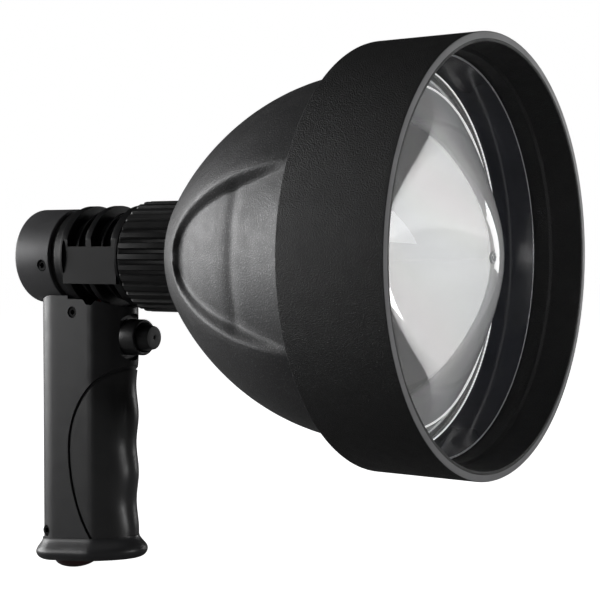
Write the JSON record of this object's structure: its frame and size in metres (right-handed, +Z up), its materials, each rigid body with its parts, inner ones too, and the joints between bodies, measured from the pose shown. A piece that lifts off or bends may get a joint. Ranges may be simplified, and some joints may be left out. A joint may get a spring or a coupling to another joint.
{
  "type": "handheld searchlight",
  "caption": "Handheld searchlight: round head with a deep rubber hood, ribbed focus ring, finned barrel, and a grip with finger grooves and a push button.",
  "frame": {"origin": "centre of the rear cap's flat back face, on the beam's axis", "axes": "+Z up, -Y along the beam, out of the lens, and +X to the lamp's left"},
  "size_m": [0.165, 0.2228, 0.2194],
  "materials": {
    "hood_rubber": "matt, fine grain",
    "bezel_plastic": "glossy black",
    "clear_lens": "clear moulded plastic",
    "seal_rubber": "matt",
    "head_plastic": "fine metallic grain",
    "ring_plastic": "satin",
    "barrel_paint": "satin black",
    "cap_paint": "satin black",
    "core_metal": "turned",
    "screw_steel": "blackened",
    "board_laminate": "green laminate",
    "lamp_cap": "clear with a yellow tint",
    "chip_black": "moulded",
    "copper": "enamelled copper wire",
    "grip_plastic": "satin",
    "grip_rubber": "fine grain",
    "button_rubber": "satin",
    "collar_plastic": "satin",
    "plug_rubber": "satin, dark red-brown",
    "cell_wrap": "shrink sleeve",
    "contact_metal": "nickel plated",
    "spring_steel": "plated",
    "lead_sleeve": "insulated wire"
  },
  "bodies": {
    "lamp_body": {"bumper_hood": "hood_rubber", "lens_bezel": "bezel_plastic", "lens": "clear_lens", "lens_gasket": "seal_rubber", "head_shell": "head_plastic", "neck_sleeve": "core_metal", "barrel": "barrel_paint", "rear_cap": "cap_paint", "cap_oring": "seal_rubber", "cap_screw_left": "screw_steel", "cap_screw_right": "screw_steel", "grip_screw_left": "screw_steel", "grip_screw_right": "screw_steel", "foot_screw_left": "screw_steel", "foot_screw_right": "screw_steel", "driver_board": "board_laminate", "driver_coil": "copper", "driver_chip": "chip_black", "supply_lead_left": "lead_sleeve", "supply_lead_right": "lead_sleeve", "grip_shell": "grip_plastic", "finger_grip": "grip_rubber", "foot_cap": "grip_plastic", "charge_socket": "contact_metal", "battery_cell_front": "cell_wrap", "battery_cell_rear": "cell_wrap", "contact_spring_front": "spring_steel", "contact_spring_rear": "spring_steel", "contact_plate": "contact_metal", "contact_board": "board_laminate", "switch_bezel": "collar_plastic", "switch_body": "chip_black", "trigger_spring": "spring_steel"},
    "focus_ring_body": {"focus_ring": "ring_plastic"},
    "lamp_core": {"led_post": "core_metal", "focus_pin": "screw_steel", "led_board": "board_laminate", "led_dome": "lamp_cap"},
    "button_body": {"trigger_button": "button_rubber"},
    "plug_body": {"charge_plug": "plug_rubber"}
  },
  "joints": [
    {"name": "focus_turn", "type": "hinge", "parent": "lamp_body", "child": "focus_ring_body", "pos_m": [0, -0.07425, 0], "axis": [0, 1, 0], "range_deg": [0, 180]},
    {"name": "led_focus", "type": "slide", "parent": "lamp_body", "child": "lamp_core", "axis": [0, -1, 0], "range_m": [0, 0.006]},
    {"name": "trigger_press", "type": "slide", "parent": "lamp_body", "child": "button_body", "axis": [0, 1, 0], "range_m": [0, 0.0025], "stiffness_N_per_m": 1200, "deforming": ["trigger_spring"]},
    {"name": "plug_pull", "type": "slide", "parent": "lamp_body", "child": "plug_body", "axis": [0, -0.0872, -0.9962], "range_m": [0, 0.009]}
  ],
  "couplings": [
    {"joint": "focus_turn", "follows": "led_focus", "rad_per_m": 523.6}
  ]
}
